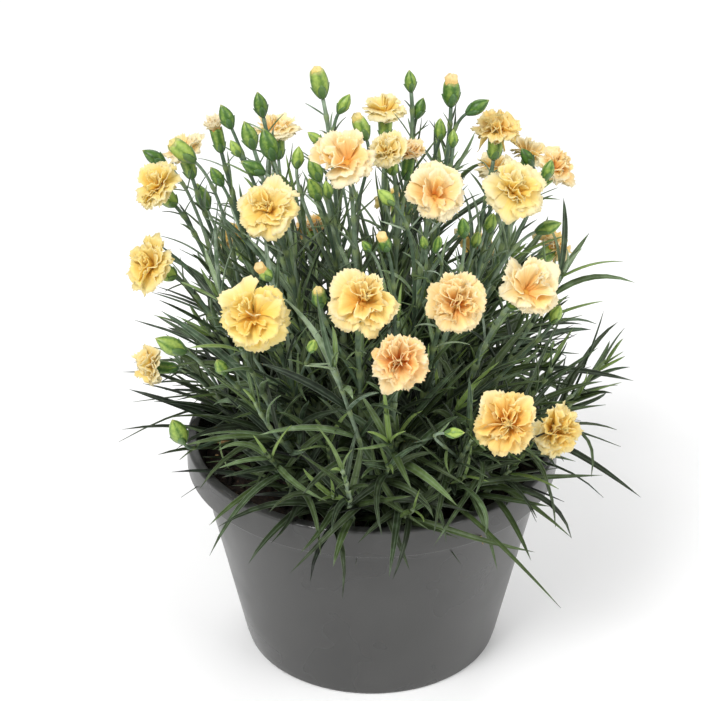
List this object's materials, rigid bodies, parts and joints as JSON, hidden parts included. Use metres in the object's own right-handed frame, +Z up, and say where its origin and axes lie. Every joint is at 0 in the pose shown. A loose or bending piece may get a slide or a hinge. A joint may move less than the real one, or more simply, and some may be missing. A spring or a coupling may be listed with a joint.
{
  "type": "potted dianthus plant",
  "caption": "Bushy pot carnation with narrow leaves, double ruffled blooms and closed buds, standing in soil in a round plastic pot.",
  "frame": {"origin": "middle of the pot's flat base, on the surface that the pot stands on", "axes": "+Z up along the pot's axis, -Y towards the front of the plant, +X to the right seen from the front"},
  "size_m": [0.2467, 0.2771, 0.3124],
  "materials": {
    "pot": "moulded anthracite polypropylene with a soft satin sheen",
    "soil": "moist dark peat, rough and matt",
    "foliage": "blue-green leaves and stems under a thin waxy bloom",
    "petals": "soft thin petals, cream-yellow to apricot"
  },
  "bodies": {
    "root": {"pot": "pot", "soil": "soil", "shoot_01": "foliage", "shoot_02": "foliage", "shoot_03": "foliage", "shoot_04": "foliage", "shoot_05": "foliage", "shoot_06": "foliage", "shoot_07": "foliage", "shoot_08": "foliage", "shoot_09": "foliage", "shoot_10": "foliage", "shoot_11": "foliage", "shoot_12": "foliage", "shoot_13": "foliage", "shoot_14": "foliage", "shoot_15": "foliage", "shoot_16": "foliage", "shoot_17": "foliage", "shoot_18": "foliage", "shoot_19": "foliage", "shoot_20": "foliage", "shoot_21": "foliage", "shoot_22": "foliage", "shoot_23": "foliage", "shoot_24": "foliage", "shoot_25": "foliage", "shoot_26": "foliage", "shoot_27": "foliage", "shoot_28": "foliage", "shoot_29": "foliage", "bloom_01": "petals", "bloom_02": "petals", "bloom_03": "petals", "bloom_04": "petals", "bloom_05": "petals", "bloom_06": "petals", "bloom_07": "petals", "bloom_08": "petals", "bloom_09": "petals", "bloom_10": "petals", "bloom_11": "petals", "bloom_12": "petals", "bloom_13": "petals", "bloom_14": "petals", "bloom_15": "petals", "bloom_16": "petals", "bloom_17": "petals", "bloom_18": "petals", "bloom_19": "petals", "bloom_20": "petals", "bloom_21": "petals", "bloom_22": "petals", "bloom_23": "petals", "bloom_24": "petals", "bloom_25": "petals", "bloom_26": "petals", "bloom_27": "petals", "bloom_28": "petals", "bloom_29": "petals"}
  },
  "joints": []
}
